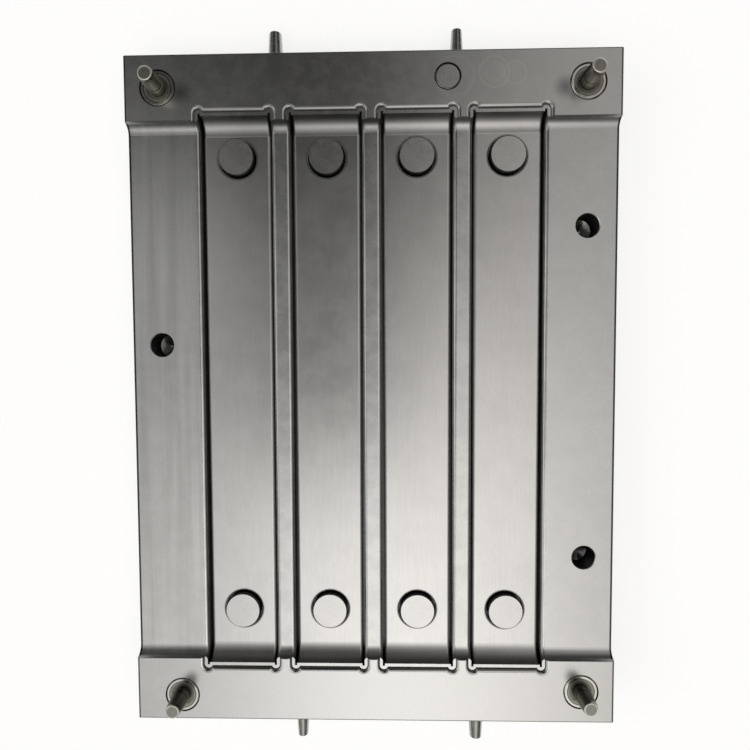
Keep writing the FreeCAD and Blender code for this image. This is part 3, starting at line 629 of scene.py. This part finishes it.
def make_peg_steel(name, colours):
    """A turned peg lying along Y, with grain round it and painted shade at its foot."""
    material, tree, shader = new_steel(name, 0.28)
    place = tree.place()
    slope_and_shade = tree.group("slope_and_painted_shade", Reach=0.006)
    turned = tree.group("steel_surface", Vector=place, Mottle_Scale=160.0, Grain_Scale=900.0,
                        Grain_Stretch=(0.12, 1.0, 0.12))
    # painted shade in the gap at the peg's foot
    tone = tree.product(tree.around(turned["Tone"], 0.10), tree.around(turned["Grain"], 0.05),
                        tree.change(slope_and_shade["Gap"], -0.85))
    tree.feed(shader.inputs["Base Color"], tree.scaled(colours.peg, tone))
    tree.feed(shader.inputs["Roughness"], tree.math("MULTIPLY_ADD", turned["Tone"], 0.10, 0.22))
    add_bump(tree, shader, turned["Grain"], 0.000008, 0.25)
    dress(name, material)


def make_fastener_steel(colours):
    material, tree, shader = new_steel("fastener_steel", 0.42)
    surface = tree.group("steel_surface", Vector=tree.place(), Mottle_Scale=220.0)
    tree.feed(shader.inputs["Base Color"], tree.scaled(colours.fastener, tree.around(surface["Tone"], 0.2)))
    tree.feed(shader.inputs["Roughness"], tree.math("MULTIPLY_ADD", surface["Tone"], 0.12, 0.36))
    for prefix in ("insert_screws", "insert_dowels"):
        dress(prefix, material)


class MOULD_OT_effects(bpy.types.Operator):
    """Build the effects that several steels share"""
    bl_idname = "mould.effects"
    bl_label = "Shared effects"

    def execute(self, context):
        make_surface_group()
        make_slope_shade_group()
        make_turning_group()
        return {"FINISHED"}


class MOULD_OT_plate(bpy.types.Operator):
    """Finish the plate, its inserts and what holds them"""
    bl_idname = "mould.plate"
    bl_label = "Plate and inserts"

    def execute(self, context):
        colours = context.scene.mould_colours
        make_plate_steel(colours)
        make_insert_steel(colours)
        make_fastener_steel(colours)
        return {"FINISHED"}


def pin_profile(low, high, sizes):
    """Half the section of a guide pin as (radius, height) corners, from its foot to its end face."""
    face = PLATE_TOP
    seat = face - PIN_SEAT_DEPTH
    foot, flange, shoulder = PIN_FOOT_RADIUS, PIN_FLANGE_RADIUS, PIN_SHOULDER_RADIUS
    ledge = seat + PIN_FLANGE_HEIGHT
    straight = face + sizes.pin_straight
    nose = high - straight
    radius, tip = sizes.pin_radius, sizes.pin_tip_radius
    waist = radius - tip
    return (
        (0.0, low), (foot - 0.0005, low), (foot, low + 0.0005), (foot, seat), (flange, seat), (flange, ledge),
        (shoulder, ledge), (shoulder, face - 0.0003), (shoulder - 0.0003, face), (0.0124, face),
        (0.0120, face - 0.0006), (radius + 0.0003, face - 0.0006), (radius, face), (radius, straight),
        (radius - waist * 0.16, straight + nose * 0.25), (radius - waist * 0.38, straight + nose * 0.50),
        (radius - waist * 0.66, straight + nose * 0.75), (tip + 0.0002, high - 0.0014), (tip, high - 0.0009),
        (tip - 0.0003, high - 0.0004), (tip - 0.0009, high), (tip - 0.0016, high),
        (tip - 0.0019, high - 0.0003), (0.0, high - 0.0003),
    )


def spin_piece(name, profile, centre, steps=96):
    """A closed solid of revolution round a vertical axis, smooth except at its corners."""
    mesh = bmesh.new()
    corners = [mesh.verts.new((centre.x + radius, centre.y, height)) for radius, height in profile]
    edges = [mesh.edges.new(pair) for pair in zip(corners, corners[1:])]
    bmesh.ops.spin(mesh, geom=[*corners, *edges], cent=(centre.x, centre.y, 0), axis=(0, 0, 1),
                   angle=2 * math.pi, steps=steps, use_merge=True)
    bmesh.ops.remove_doubles(mesh, verts=mesh.verts, dist=0.00001)
    bmesh.ops.recalc_face_normals(mesh, faces=mesh.faces)
    for face in mesh.faces:
        face.smooth = True
    for edge in mesh.edges:
        edge.smooth = edge.calc_face_angle(0.0) < SMOOTH_ANGLE
    data = bpy.data.meshes.new(name)
    mesh.to_mesh(data)
    mesh.free()
    piece = bpy.data.objects.new(name, data)
    bpy.context.scene.collection.objects.link(piece)
    return piece


class MOULD_OT_guide_pins(bpy.types.Operator):
    """Turn the guide pins with their rounded noses and finish them"""
    bl_idname = "mould.guide_pins"
    bl_label = "Guide pins"

    def execute(self, context):
        colours, sizes = context.scene.mould_colours, context.scene.mould_sizes
        for name in [name for name in NODES if name.startswith("guide_pin")]:
            low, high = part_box(name)
            piece = spin_piece(name.replace("guide_pin", "turned_pin"), pin_profile(low[2], high[2], sizes),
                               middle_of(name))
            piece.data.materials.append(make_round_steel(name, colours.guide, 0.17, 420.0, top=colours.nose))
            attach(piece, BODY)
            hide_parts(name)
        return {"FINISHED"}


class MOULD_OT_round_pieces(bpy.types.Operator):
    """Finish the core pins, collars, plug and handle pegs"""
    bl_idname = "mould.round_pieces"
    bl_label = "Round pieces"

    def execute(self, context):
        colours = context.scene.mould_colours
        for name in NODES:
            if name.startswith("core_pin"):
                dress(name, make_round_steel(name, colours.core, 0.26, 520.0, shaded_sides=0.75))
            elif name.startswith("guide_collar"):
                dress(name, make_round_steel(name, colours.collar, 0.20, 330.0, seams=(0.0169,)))
            elif name.startswith("blanking_plug"):
                dress(name, make_round_steel(name, colours.plate, 0.27, 300.0, seams=(0.0141,)))
            elif name.startswith("handle_peg"):
                make_peg_steel(name, colours)
        return {"FINISHED"}


# ---------------------------------------------------------------- add-on

class MOULD_PT_panel(bpy.types.Panel):
    """Lists the mould's operators"""
    bl_idname = "MOULD_PT_panel"
    bl_label = "Mould half"
    bl_space_type = "VIEW_3D"
    bl_region_type = "UI"
    bl_category = "Mould"

    def draw(self, context):
        for operator in OPERATORS:
            self.layout.operator(operator.bl_idname)


OPERATORS = (MOULD_OT_stage, MOULD_OT_effects, MOULD_OT_plate, MOULD_OT_guide_pins, MOULD_OT_round_pieces)
CLASSES = (MouldColours, MouldSizes, *OPERATORS, MOULD_PT_panel)


def register():
    for item in CLASSES:
        bpy.utils.register_class(item)
    bpy.types.Scene.mould_colours = PointerProperty(type=MouldColours)
    bpy.types.Scene.mould_sizes = PointerProperty(type=MouldSizes)


def unregister():
    del bpy.types.Scene.mould_sizes
    del bpy.types.Scene.mould_colours
    for item in reversed(CLASSES):
        bpy.utils.unregister_class(item)


def main():
    register()
    for operator in OPERATORS:
        group, name = operator.bl_idname.split(".")
        getattr(getattr(bpy.ops, group), name)()


if __name__ == "__main__":
    main()
